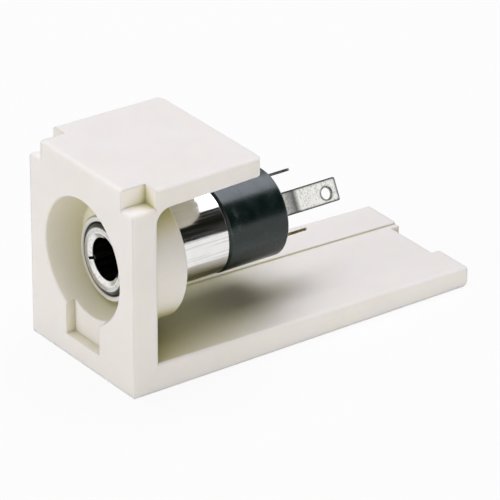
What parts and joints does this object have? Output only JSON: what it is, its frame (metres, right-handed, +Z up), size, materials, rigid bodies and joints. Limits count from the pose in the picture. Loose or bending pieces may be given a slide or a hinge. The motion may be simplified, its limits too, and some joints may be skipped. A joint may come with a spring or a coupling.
{
  "type": "audio jack socket",
  "caption": "Snap-in faceplate module in ivory plastic that holds a round panel socket for a small stereo plug, with solder lugs at the rear.",
  "frame": {"origin": "middle of the box round the part, at the underside of the arm", "axes": "X to the right seen from the front, Y from the front face with the plug's hole towards the solder lugs, Z upwards"},
  "size_m": [0.0144, 0.0336, 0.0176],
  "materials": {
    "ivory_plastic": "satin",
    "nickel_plate": "polished",
    "black_plastic": "satin",
    "tinned_brass": "satin",
    "bare_brass": "satin",
    "spring_bronze": "satin"
  },
  "bodies": {
    "socket": {"housing": "ivory_plastic", "jack_shell": "nickel_plate", "ring_nut": "nickel_plate", "seat_washer": "nickel_plate", "guide_insulator": "black_plastic", "insulator_body": "black_plastic", "sleeve_lug": "tinned_brass", "tip_terminal": "tinned_brass", "ring_terminal": "bare_brass"},
    "tip_leaf": {"tip_spring": "spring_bronze"},
    "ring_leaf": {"ring_spring": "spring_bronze"}
  },
  "joints": [
    {"name": "tip_leaf_flex", "type": "hinge", "parent": "socket", "child": "tip_leaf", "pos_m": [-0.00114, -0.00525, 0.01069], "axis": [0.866, 0, 0.5], "range_deg": [0, 5], "stiffness_Nm_per_rad": 0.03},
    {"name": "ring_leaf_flex", "type": "hinge", "parent": "socket", "child": "ring_leaf", "pos_m": [0.00114, -0.00091, 0.00675], "axis": [0.866, 0, 0.5], "range_deg": [0, 3.2], "stiffness_Nm_per_rad": 0.1}
  ]
}
